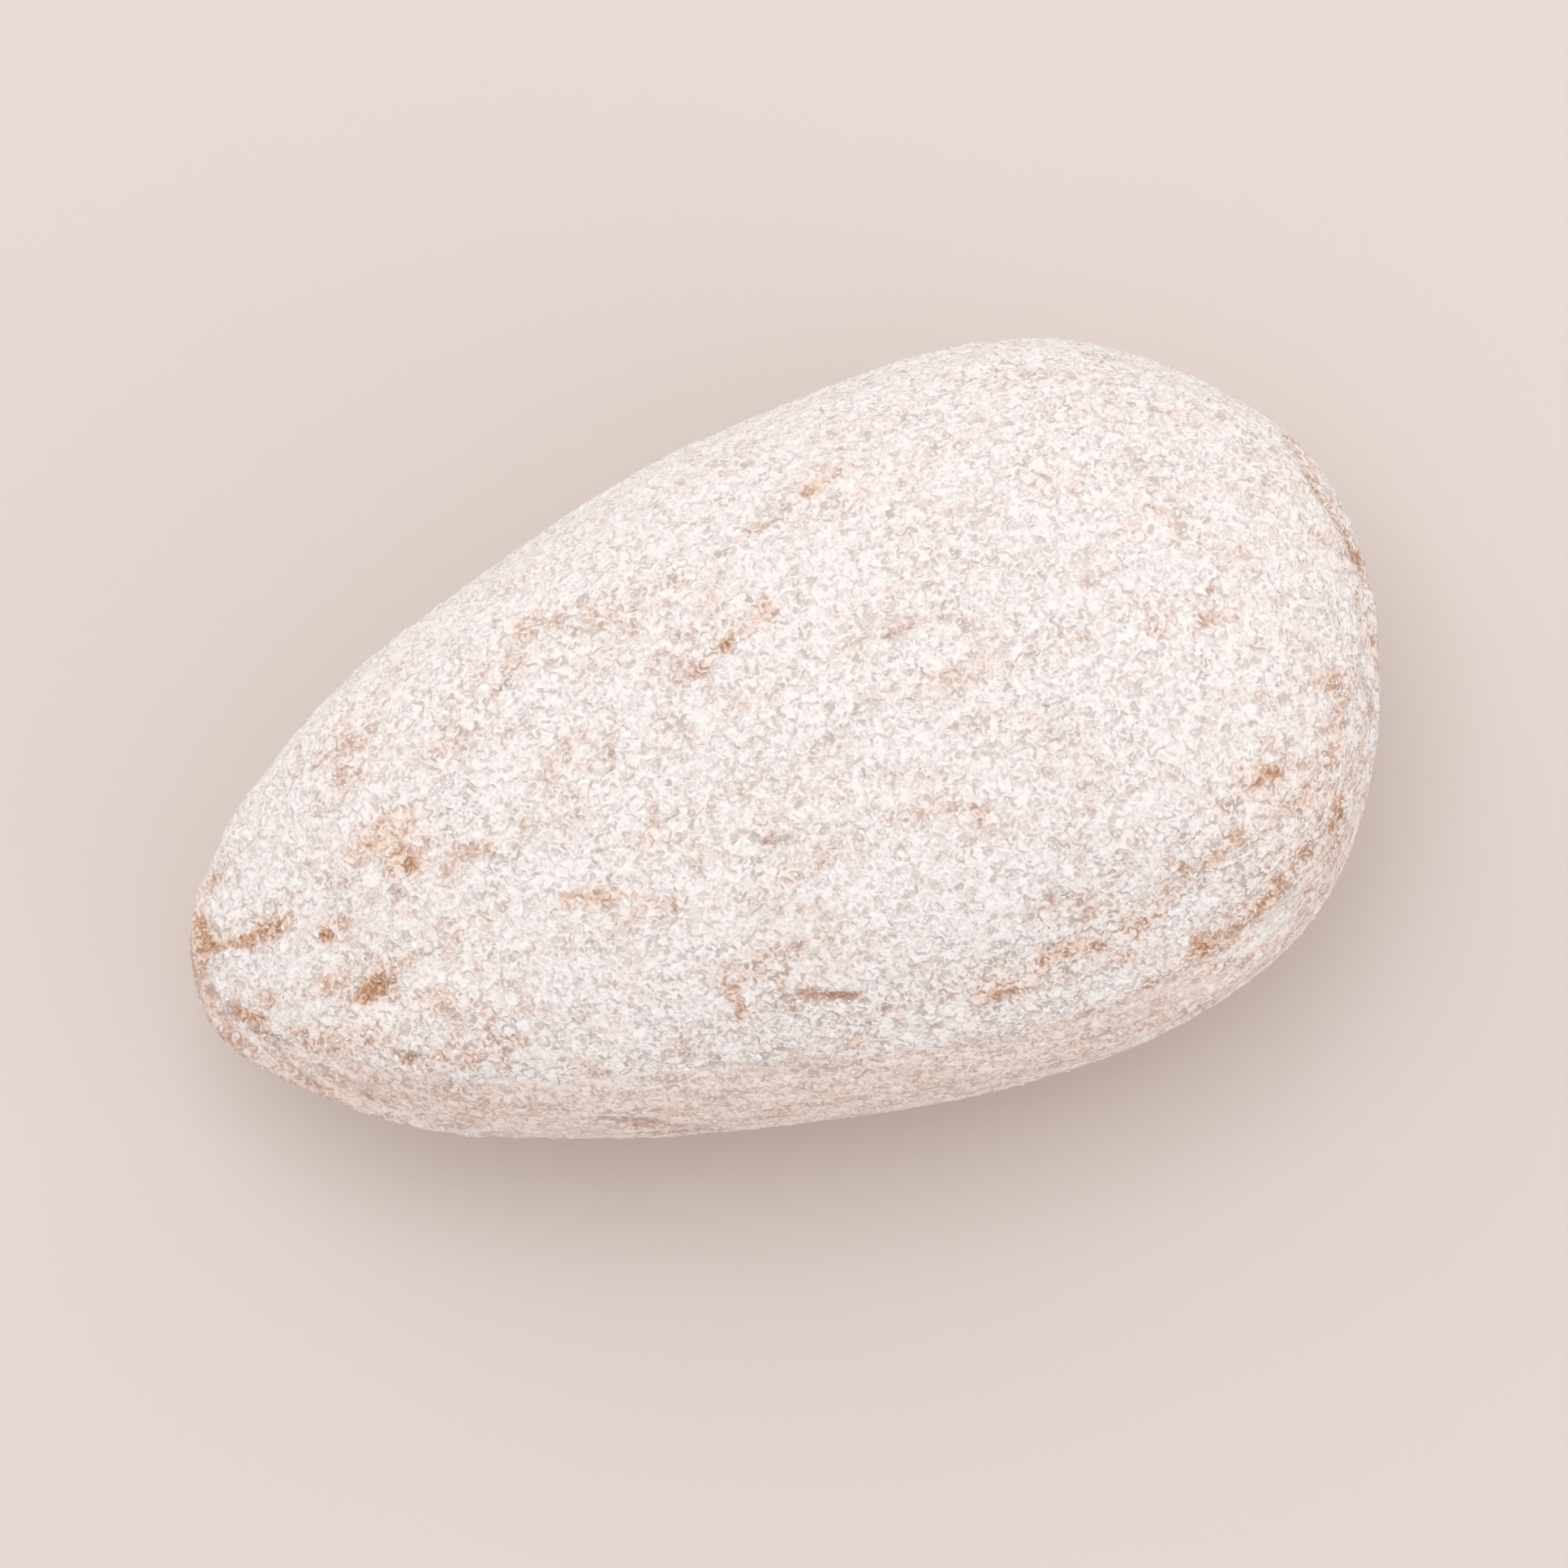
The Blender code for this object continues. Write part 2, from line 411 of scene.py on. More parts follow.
MARKS = (
    # The pinched tip: its scuff and branch, the crack under them, the chips, the spot and the pit
    Mark(WearAndShade.SCUFF, (-14.60, 1.38), (-14.66, 0.74), 0.31),
    Mark(WearAndShade.SCUFF, (-14.40, 0.70), (-13.60, 0.50), 0.12),
    Mark(WearAndShade.SOFT, (-13.60, 0.48), (-12.80, 0.54), 0.20),
    Mark(WearAndShade.LINE, (-14.86, 0.60), (-14.88, -0.10), 0.07),
    Mark(WearAndShade.LINE, (-14.88, -0.10), (-14.48, -0.98), 0.07),
    Mark(WearAndShade.SCUFF, (-14.34, -1.05), (-13.98, -1.30), 0.20),
    Mark(WearAndShade.SCUFF, (-13.68, -1.04), (-13.40, -1.16), 0.14),
    Mark(WearAndShade.LINE, (-14.10, -1.50), (-13.45, -2.26), 0.06),
    Mark(WearAndShade.STREAK, (-13.95, 2.10), (-13.92, 2.40), 0.18),
    Mark(WearAndShade.SCUFF, (-11.80, -0.08), (-11.68, -0.26), 0.13),
    Mark(WearAndShade.FULL, (-11.90, 0.55), (-11.20, 0.45), 0.28),
    Mark(WearAndShade.THIN, (-13.20, -2.00), (-11.30, -2.75), 0.40),
    Mark(WearAndShade.PIT, (-11.34, -1.70), (-10.98, -1.76), 0.21),
    Mark(WearAndShade.STREAK, (-11.50, -1.95), (-10.80, -1.85), 0.20),
    Mark(WearAndShade.STREAK, (-12.11, -1.19), (-11.62, -1.32), 0.13),
    Mark(WearAndShade.FULL, (-14.20, 0.05), (-12.60, -0.35), 0.42),
    Mark(WearAndShade.FULL, (-13.30, -1.60), (-12.30, -1.90), 0.30),
    Mark(WearAndShade.FULL, (-13.20, 1.80), (-11.80, 3.40), 0.70),
    # Behind the tip: the soft tan patch, the trail under it and the clusters
    Mark(WearAndShade.SOFT, (-9.45, 1.75), (-9.48, 0.95), 0.56),
    Mark(WearAndShade.THIN, (-10.60, 1.45), (-10.20, 1.35), 0.36),
    Mark(WearAndShade.THIN, (-9.70, 3.40), (-9.65, 4.50), 0.45),
    Mark(WearAndShade.CREASE, (-9.90, 0.30), (-9.65, 0.10), 0.08),
    Mark(WearAndShade.THIN, (-10.30, -2.10), (-9.30, -2.60), 0.34),
    Mark(WearAndShade.THIN, (-9.30, -2.60), (-8.90, -3.30), 0.24),
    Mark(WearAndShade.STREAK, (-8.25, 0.43), (-7.35, 0.38), 0.22),
    Mark(WearAndShade.THIN, (-8.60, -1.20), (-7.80, -1.35), 0.34),
    Mark(WearAndShade.STREAK, (-8.75, -3.93), (-7.90, -4.15), 0.20),
    Mark(WearAndShade.CREASE, (-10.98, -3.62), (-10.60, -3.66), 0.08),
    Mark(WearAndShade.STREAK, (-5.10, -2.45), (-3.50, -2.28), 0.27),
    Mark(WearAndShade.SOFT, (-6.00, -1.40), (-4.30, -1.90), 0.30),
    # The long left side
    Mark(WearAndShade.THIN, (-5.50, 4.40), (-4.60, 4.20), 0.36),
    Mark(WearAndShade.THIN, (-4.80, 5.20), (-3.60, 5.40), 0.36),
    Mark(WearAndShade.CREASE, (-3.85, 1.60), (-4.00, 1.10), 0.08),
    Mark(WearAndShade.STREAK, (-0.92, -0.80), (-0.94, -1.55), 0.16),
    Mark(WearAndShade.CREASE, (-1.10, -1.76), (-0.34, -1.91), 0.08),
    Mark(WearAndShade.FULL, (-5.70, 3.15), (-5.30, 3.05), 0.30),
    Mark(WearAndShade.SOFT, (1.00, 3.62), (-0.33, 3.14), 0.26),
    Mark(WearAndShade.STREAK, (-0.33, 3.18), (-1.30, 2.60), 0.16),
    Mark(WearAndShade.THIN, (-1.30, 2.60), (-2.30, 2.10), 0.34),
    Mark(WearAndShade.STREAK, (-1.25, 4.94), (-1.00, 5.05), 0.18),
    Mark(WearAndShade.CREASE, (3.22, 1.96), (3.88, 2.02), 0.08),
    # The broad middle, low down
    Mark(WearAndShade.SOFT, (-3.05, -4.45), (-2.85, -5.20), 0.19),
    Mark(WearAndShade.STREAK, (-2.40, -4.60), (-1.70, -4.95), 0.16),
    Mark(WearAndShade.STREAK, (-0.80, -5.60), (-0.20, -5.85), 0.14),
    Mark(WearAndShade.CREASE, (-1.85, -5.30), (-0.10, -5.86), 0.09),
    Mark(WearAndShade.SOFT, (2.70, -6.85), (3.50, -6.85), 0.30),
    Mark(WearAndShade.SOFT, (4.10, -6.62), (5.00, -6.40), 0.26),
    Mark(WearAndShade.STREAK, (3.20, -2.35), (4.10, -2.75), 0.16),
    Mark(WearAndShade.FULL, (4.30, -4.20), (5.00, -4.25), 0.36),
    Mark(WearAndShade.LINE, (-6.95, -6.41), (-5.60, -6.95), 0.035),
    Mark(WearAndShade.LINE, (-6.20, -6.85), (-4.20, -7.50), 0.035),
    # The upper side of the butt
    Mark(WearAndShade.STREAK, (7.00, 7.38), (7.95, 7.40), 0.18),
    Mark(WearAndShade.SOFT, (2.60, 6.05), (3.90, 6.20), 0.20),
    Mark(WearAndShade.FULL, (2.90, 2.75), (3.20, 2.70), 0.34),
    Mark(WearAndShade.STREAK, (9.52, 4.22), (9.58, 4.32), 0.15),
    Mark(WearAndShade.STREAK, (7.50, 4.70), (7.90, 4.85), 0.15),
    Mark(WearAndShade.CREASE, (8.20, 1.62), (9.35, 1.72), 0.08),
    Mark(WearAndShade.STREAK, (9.30, 0.00), (9.80, 0.05), 0.18),
    Mark(WearAndShade.STREAK, (10.60, -0.05), (11.10, -0.20), 0.24),
    # The mottled lower side of the butt
    Mark(WearAndShade.THIN, (9.50, -6.00), (11.50, -4.60), 1.00),
    Mark(WearAndShade.THIN, (11.60, -5.60), (12.80, -3.60), 0.60),
    Mark(WearAndShade.SOFT, (10.30, -3.84), (11.10, -4.04), 0.22),
    Mark(WearAndShade.STREAK, (12.20, -4.27), (12.65, -4.20), 0.13),
    Mark(WearAndShade.STREAK, (10.50, -4.20), (9.70, -4.65), 0.20),
    Mark(WearAndShade.STREAK, (9.60, -5.35), (8.90, -5.60), 0.18),
    Mark(WearAndShade.STREAK, (8.00, -5.38), (8.20, -5.52), 0.20),
    Mark(WearAndShade.STREAK, (12.53, -5.09), (12.03, -5.56), 0.16),
    Mark(WearAndShade.STREAK, (11.33, -5.97), (9.88, -6.93), 0.20),
    Mark(WearAndShade.SCUFF, (8.10, -7.34), (8.50, -7.30), 0.30),
    Mark(WearAndShade.CREASE, (8.86, -7.27), (9.63, -7.17), 0.12),
    Mark(WearAndShade.SOFT, (6.55, -6.38), (7.40, -6.36), 0.28),
    Mark(WearAndShade.SOFT, (5.40, -6.60), (5.80, -6.55), 0.20),
    Mark(WearAndShade.STREAK, (13.00, -2.35), (13.30, -2.55), 0.24),
    # The rim of the butt
    Mark(WearAndShade.LINE, (14.10, -2.30), (13.86, -3.35), 0.08),
    Mark(WearAndShade.LINE, (14.35, 2.90), (14.50, 2.00), 0.08),
    Mark(WearAndShade.STREAK, (14.50, -1.90), (14.85, 0.60), 0.22),
    Mark(WearAndShade.STREAK, (14.85, 0.60), (14.35, 3.90), 0.22),
)


@dataclass(frozen=True)
class Nicks:
    """Short nicks in the crust, strewn over the whole candy and mostly lengthwise.

    Attributes:
        count: how many there are.
        seed: chooses their places.
        shortest: the shortest one's length.
        longest: the longest one's length.
        half_width: how far one spreads to each side.
        depth: how deep one is.
        bareness: how bare of powder it is.
        slant: how far across the candy one may run for each step along it.
        widths: the narrowest and the widest one's width, as shares of the half width.
        strengths: how much of the depth the faintest and the plainest one have.
    """

    count: int = 150
    seed: int = 12
    shortest: float = 0.10 * MM
    longest: float = 0.60 * MM
    half_width: float = 0.17 * MM
    depth: float = 0.07 * MM
    bareness: float = 0.35
    slant: float = 0.7
    widths: Span = (0.7, 1.2)
    strengths: Span = (0.5, 1.0)

    def cover(self, places: Array, normals: Array) -> Array:
        """How deep in a nick each place lies.

        Args:
            places: one row of x, y and z for each place.
            normals: the places' normals.

        Returns:
            1 in the middle of a nick, and 0 outside them all.
        """
        draw = np.random.default_rng(self.seed)
        shown = np.zeros(len(places))
        for middle in draw.integers(len(places), size=self.count):
            along = (1.0, draw.uniform(-self.slant, self.slant), 0.0)
            across = np.cross(normals[middle], along)
            way = np.cross(across, normals[middle])
            way /= np.linalg.norm(way)
            half = draw.uniform(self.shortest, self.longest) / 2
            near = places - places[middle]
            share = np.clip(near @ way, -half, half)
            away = np.linalg.norm(near - share[:, None] * way, axis=1)
            reach = self.half_width * draw.uniform(*self.widths)
            nick = draw.uniform(*self.strengths) * smooth_step(away, reach, 0.0)
            shown = np.maximum(shown, nick)
        return shown


@dataclass(frozen=True)
class Ripple:
    """Noise of one size in the coat.

    Attributes:
        length: its longest wave.
        octaves: how many finer waves it holds.
        seed: chooses its pattern.
        height: how far it raises the coat.
        dust: how much powder it adds.
        stretch: how far its waves are drawn out along x, y and z.
    """

    length: float
    octaves: int
    seed: float
    height: float = 0.0
    dust: float = 0.0
    stretch: Triple = ROUND


@dataclass(frozen=True)
class Lip:
    """A rolled edge of crust that stands out from the candy's outline on one side.

    Attributes:
        way: the level way that its middle faces, of length 1.
        reach: where it begins and where it is full, by how far the skin faces that way.
        height: how far it stands out.
        width: half its width, by how far the skin faces up or down.
    """

    way: Triple
    reach: Span
    height: float
    width: float = 0.26

    def side(self, normals: Array) -> Array:
        """How squarely each point faces the lip's own way.

        Args:
            normals: the normals of the skin's points.

        Returns:
            1 above and below the lip as well as on it, and 0 elsewhere.
        """
        return smooth_step(normals @ np.array(self.way), *self.reach)

    def crest(self, normals: Array) -> Array:
        """How fully the lip stands out at each point.

        Args:
            normals: the normals of the skin's points.

        Returns:
            1 along the lip's crest, and 0 off the lip.
        """
        return self.side(normals) * bell(normals[:, 2], 0.0, self.width)


@dataclass(frozen=True)
class Flank:
    """The low side of the candy, where the coat is thin and even, and the dashed ledge above it. Its
    thinner, warmer coat also paints the warm light bounced up onto it.

    Attributes:
        begins: how far the skin faces the powder where the flank begins, and where it is full.
        wander: how far its upper edge wanders, in the same measure.
        wander_length: the length of the waves in which the edge wanders.
        wander_seed: chooses those waves.
        loss_and_bounce: how much powder it lacks, which also paints warm bounce light.
        calm: how much evener the coat is there.
        drop: how far it lies below the crust on top.
        shoulder: where the ledge is dashed with flecks, by how far the skin faces the powder.
        shoulder_width: half that shoulder's width, in the same measure.
        dash: the length of the flecks.
        dash_seed: chooses their pattern.
        dash_height: how far they stand out.
        dash_dust: how much powder they hold.
    """

    begins: Span = (0.27, 0.20)
    wander: float = 0.04
    wander_length: float = 0.8 * MM
    wander_seed: float = 37.0
    # A thinner, warmer coat, which also paints warm bounce light
    loss_and_bounce: float = 0.17
    calm: float = 0.6
    drop: float = 0.07 * MM
    shoulder: float = 0.28
    shoulder_width: float = 0.07
    dash: float = 0.30 * MM
    dash_seed: float = 61.0
    dash_height: float = 0.035 * MM
    dash_dust: float = 0.34

    def cover(self, places: Array, facing: Array) -> Array:
        """How fully each point belongs to the flank.

        Args:
            places: one row of x, y and z for each point.
            facing: how far each point faces the powder.

        Returns:
            1 on the flank, and 0 on top.
        """
        edge = self.wander * waves(places, self.wander_length, 2, self.wander_seed)
        return smooth_step(facing + edge, *self.begins)

    def dashes(self, places: Array, facing: Array) -> Array:
        """How strongly the shoulder's flecks show at each point.

        Args:
            places: one row of x, y and z for each point.
            facing: how far each point faces the powder.

        Returns:
            One value from about -1 to 1 for each point, and 0 off the shoulder.
        """
        shoulder = bell(facing, self.shoulder, self.shoulder_width)
        return shoulder * waves(places, self.dash, 2, self.dash_seed, LEVEL)


@dataclass(frozen=True)
class Drift:
    """How much more or less powder lies on each side of the candy than on the middle of its top.
    The thinner underside also paints warm bounce light, and the hem's extra powder a bright rim.

    Attributes:
        shaded_side_loss: how much powder the side turned from the light lacks.
        plus_y_side: how far the skin faces +Y where more powder begins to lie, and where it is thickest.
        plus_y_dust: how much more powder it holds there, which makes that side whiter.
        under: how far the skin faces the powder where the underside begins, and where it is full.
        under_loss_and_bounce: how much powder the underside lacks, which also paints warm bounce light.
        tip: where along the candy the coat begins to thin towards the tip, and where it is thinnest.
        level: how far the skin faces up where that thinning begins to show, and where it is full.
        tip_loss: how much powder the tip lacks on top.
        hem: the height at which more powder sticks along the candy's waist.
        hem_width: half the hem's width.
        hem_dust_and_rim_light: how much more powder it holds, which also paints a bright rim along the
            outline.
        hem_start: where along the candy the hem begins, and where it is full.
        steep: how far the skin faces up or down where the hem begins to show, and where it is full.
    """

    shaded_side_loss: float = 0.04
    plus_y_side: Span = (0.3, 0.9)
    plus_y_dust: float = 0.14
    under: Span = (0.20, -0.25)
    # A thinner, warmer underside, which also paints warm bounce light
    under_loss_and_bounce: float = 0.16
    tip: Span = (-5.5 * MM, -10.0 * MM)
    level: Span = (0.5, 0.8)
    tip_loss: float = 0.08
    hem: float = 6.0 * MM
    hem_width: float = 0.8 * MM
    # More powder along the waist, which also paints a bright rim along the outline
    hem_dust_and_rim_light: float = 0.20
    hem_start: Span = (-13.5 * MM, -11.0 * MM)
    steep: Span = (0.55, 0.25)

    def dust(self, skin: Skin, facing: Array, shaded_side: Array) -> Array:
        """How much more powder lies at each point than on the middle of the top.

        Args:
            skin: the smooth skin.
            facing: how far each point faces the powder.
            shaded_side: how fully each point lies on the side turned from the light.

        Returns:
            A thickness for each point, below 0 where the coat is thinner.
        """
        along, height = skin.places[:, 0], skin.places[:, 2]
        upward = skin.normals[:, 2]
        on_tip = smooth_step(upward, *self.level) * smooth_step(along, *self.tip)
        waist = smooth_step(np.abs(upward), *self.steep) * smooth_step(along, *self.hem_start)
        dust = self.hem_dust_and_rim_light * waist * bell(height, self.hem, self.hem_width)
        dust += self.plus_y_dust * smooth_step(skin.normals[:, 1], *self.plus_y_side)
        dust -= self.tip_loss * on_tip + self.shaded_side_loss * shaded_side
        return dust - self.under_loss_and_bounce * smooth_step(facing, *self.under)


@dataclass(frozen=True)
class DamageAndShade:
    """The marks on top of the candy and the nicks all over it, with the painted shade that some marks
    give the folds.

    Attributes:
        marks: the marks.
        ragged: the length of the waves that make the marks' edges uneven.
        seed: chooses those waves.
        top: how far the skin faces up where the marks begin to show, and where they show fully.
        lip_top: how much further up it has to face above and below a rolled edge.
        nicks: the nicks.
    """

    marks: tuple[Mark, ...] = MARKS
    ragged: float = 0.45 * MM
    seed: float = 5.0
    top: Span = (-0.3, 0.1)
    lip_top: float = 0.22
    nicks: Nicks = Nicks()

    def find(self, skin: Skin, lips: tuple[Lip, ...]) -> tuple[Array, Array, Array]:
        """Adds up the marks and nicks, with their painted shade, at each point of the skin.

        Args:
            skin: the smooth skin.
            lips: the coat's rolled edges.

        Returns:
            How bare of powder each point is, how deep it lies and how much painted shade its folds get.
        """
        ragged = waves(skin.places, self.ragged, 2, self.seed)
        on_lip = np.max([lip.side(skin.normals) for lip in lips], axis=0)
        top = smooth_step(skin.normals[:, 2] - self.lip_top * on_lip, *self.top)
        nicked = self.nicks.cover(skin.places, skin.normals)
        bareness = self.nicks.bareness * nicked
        depth = self.nicks.depth * nicked
        darkness = np.zeros(len(skin.places))
        for mark in self.marks:
            bare, deep, dark = mark.wear_and_shade.value
            shown = mark.cover(skin.places, ragged) * top
            bareness += bare * shown
            depth += deep * MM * shown
            darkness += dark * shown
        return bareness, depth, darkness


@dataclass(frozen=True)
class Felt:
    """How rough the powder's felt is in each place, which sets how strongly its folds and their painted
    highlights and shade show, and how many loose grains lie on it.

    Attributes:
        on_top: how rough it is on top.
        on_shaded_side: how much rougher it is on the side turned from the light, for deeper painted
            shade in its folds.
        on_flank: how much smoother it is on the flank.
        worn: how much rougher it is for each unit of powder that it lacks.
        worn_span: the most powder that counts as added, below 0, and the most that counts as lost.
        fewest: the share of the grains that lie where the coat is bare.
        full: how thick the coat is where all the grains lie.
        flank_lacks: the share of the grains that the flank lacks.
        clear: how high above the floor the first grains lie, and from where on all of them do.
    """

    on_top: float = 0.88
    # Deeper painted shade in the folds on the side turned from the light
    on_shaded_side: float = 0.28
    on_flank: float = 0.45
    worn: float = 0.5
    worn_span: Span = (-0.2, 0.8)
    fewest: float = 0.2
    full: float = 0.7
    flank_lacks: float = 0.7
    clear: Span = (0.1 * MM, 0.3 * MM)

    def roughness(self, lost: Array, flank: Array, shaded_side: Array) -> Array:
        """How strongly the folds, with their painted highlights and shade, show at each point.

        Args:
            lost: how much powder each point lacks.
            flank: how fully each point belongs to the flank.
            shaded_side: how fully each point lies on the side turned from the light.

        Returns:
            A factor for the folds.
        """
        worn = self.worn * lost.clip(*self.worn_span)
        return self.on_top + self.on_shaded_side * shaded_side - self.on_flank * flank + worn

    def grains(self, dust: Array, flank: Array, height: Array) -> Array:
        """How many of the loose grains lie at each point.

        Args:
            dust: how thick the coat is.
            flank: how fully each point belongs to the flank.
            height: how high each point lies above the floor.

        Returns:
            A share from 0 to 1 for each point.
        """
        kept = self.fewest + (1.0 - self.fewest) * smooth_step(dust, 0.0, self.full)
        return kept * (1.0 - self.flank_lacks * flank) * smooth_step(height, *self.clear)


@dataclass(frozen=True)
class Coat:
    """The crust of powder: its relief, and how thick it lies on each side of the candy.

    Powder settles on what faces up and a little to the butt and to +Y. It lies thin low on the other
    side, and the crust ends between the two in a low ledge that is dashed with loose flecks; that
    thin, warmer low side also paints warm bounce light. The side turned from the light gets deeper
    painted shade in its folds. The tip and one corner of the butt have a rolled edge.

    Attributes:
        thickness: how thick it lies on top, from 0, bare, to 1, opaque.
        ripples: its uneven places, from broad to fine.
        snowfall: the way that the powder came from, of length 1.
        light_way: the way that the light mostly comes from, of length 1: what turns away from it is the
            shaded side.
        shaded_side: how far the skin faces the light where the shaded side begins, and where it is full.
        lips: its rolled edges.
        flank: its low side.
        drift: how thick it lies on each side.
        crevice_loss: how much powder each metre of depth of a hollow takes away.
        deepest: the depth past which a hollow takes no more away.
        damage_and_shade: its marks and nicks, and the painted shade that some marks give the folds.
        felt: how rough it is, and its loose grains.
        dust_limits: the least and the greatest thickness that the colours are given.
        shade_limits: the least and the greatest painted shade in the folds that they are given.
    """

    thickness: float = 0.76
    ripples: tuple[Ripple, ...] = (
        Ripple(5.5 * MM, 2, 47.0, dust=0.12),
        Ripple(1.5 * MM, 2, 53.0, dust=0.10, stretch=OVAL),
        Ripple(1.8 * MM, 3, 11.0, height=0.030 * MM, dust=0.06),
        Ripple(0.40 * MM, 2, 23.0, height=0.040 * MM, dust=0.03),
        Ripple(0.65 * MM, 1, 31.0, height=0.022 * MM, dust=0.05, stretch=RIBBED),
    )
    snowfall: Triple = (0.30, 0.38, 0.875)
    # The way that the light mostly comes from, and the side turned from it, where the folds get deeper
    # painted shade and a little less powder
    light_way: Triple = (0.10, 0.62, 0.78)
    shaded_side: Span = (0.66, 0.05)
    lips: tuple[Lip, ...] = (
        Lip(way=(-0.96, -0.28, 0.0), reach=(0.45, 0.85), height=0.28 * MM),
        Lip(way=(0.75, -0.66, 0.0), reach=(0.55, 0.90), height=0.19 * MM),
    )
    flank: Flank = Flank()
    drift: Drift = Drift()
    crevice_loss: float = 9.0e3
    deepest: float = 0.03 * MM
    damage_and_shade: DamageAndShade = DamageAndShade()
    felt: Felt = Felt()
    dust_limits: Span = (-0.5, 1.2)
    shade_limits: Span = (-0.5, 1.0)

    def lay(self, skin: Skin) -> None:
        """Raises the skin into the coat's relief and stores what the materials read.

        Args:
            skin: the smooth skin.
        """
        facing = skin.normals @ np.array(self.snowfall)
        flank = self.flank.cover(skin.places, facing)
        shaded_side = smooth_step(skin.normals @ np.array(self.light_way), *self.shaded_side)
        dashes = self.flank.dashes(skin.places, facing)
        bareness, depth, darkness = self.damage_and_shade.find(skin, self.lips)

        height, dust = self.ripple(skin)
        even = 1.0 - self.flank.calm * flank
        height *= even
        height += self.flank.dash_height * dashes - self.flank.drop * flank - depth
        for lip in self.lips:
            height += lip.height * lip.crest(skin.normals)

        dust *= even
        # The drift's thinner underside and the flank's thinner coat below also paint warm bounce light,
        # and the drift's hem paints a bright rim
        dust += self.thickness + self.drift.dust(skin, facing, shaded_side)
        dust += self.flank.dash_dust * dashes - self.flank.loss_and_bounce * flank - bareness
        dust -= self.crevice_loss * skin.hollows().clip(0.0, self.deepest)

        skin.raise_by(height)
        skin.store("dust", dust.clip(*self.dust_limits))
        skin.store("rough", self.felt.roughness(self.thickness - dust, flank, shaded_side))
        skin.store("flank", flank)
        skin.store("shaded_side", shaded_side)
        # The marks' painted shade in the folds
        skin.store("shade", darkness.clip(*self.shade_limits))
        skin.store("grains", self.felt.grains(dust, flank, skin.places[:, 2]))

    def ripple(self, skin: Skin) -> tuple[Array, Array]:
        """Adds up the ripples.

        Args:
            skin: the smooth skin.

        Returns:
            How far each point is raised, and how much more powder lies on it.
        """
        height = np.zeros(len(skin.places))
        dust = np.zeros(len(skin.places))
        for wave in self.ripples:
            swell = waves(skin.places, wave.length, wave.octaves, wave.seed, wave.stretch)
            height += wave.height * swell
            dust += wave.dust * swell
        return height, dust


@dataclass(frozen=True)
class SugarColours:
    """The candy's colours, from the bare boiled sugar to the loose powder on top, with the painted shade
    of its folds.

    Attributes:
        bare: the boiled sugar without powder.
        thin: a thin coat, with the sugar showing through.
        dusted: a full coat.
        thick: the highest crumbs of powder, which also paint a highlight on the folds' tops.
        shade: painted shade, which a full coat is multiplied by in its folds.
        thin_shade: painted shade with the tan sugar showing through, which a thin coat is multiplied by
            in its folds.
    """

    bare: str = "D3AA89"
    thin: str = "EFD4C3"
    dusted: str = "F9F2F0"
    # Powder crumbs, also a painted highlight on the folds' tops
    thick: str = "FDF9F8"
    # Painted shade in the folds: grey on a full coat, with tan showing through on a thin one
    shade: str = "D1C8C5"
    thin_shade: str = "CAB3A8"


@dataclass(frozen=True)
class Speckle:
    """Noise of one size in the powder's colour.

    Attributes:
        size: the size of its spots.
        detail: how many finer sizes it holds, each with part of the strength of the last.
        light: its weight in the folds, which are painted lighter on their tops and darker in their
            hollows.
        tint: its weight in how well the powder hides the sugar.
        curl: how far its spots are drawn out into curls.
        stretch: how far its spots are drawn out along x, y and z.
    """

    size: float
    detail: float
    light: float = 0.0
    tint: float = 0.0
    curl: float = 0.0
    stretch: Triple = ROUND


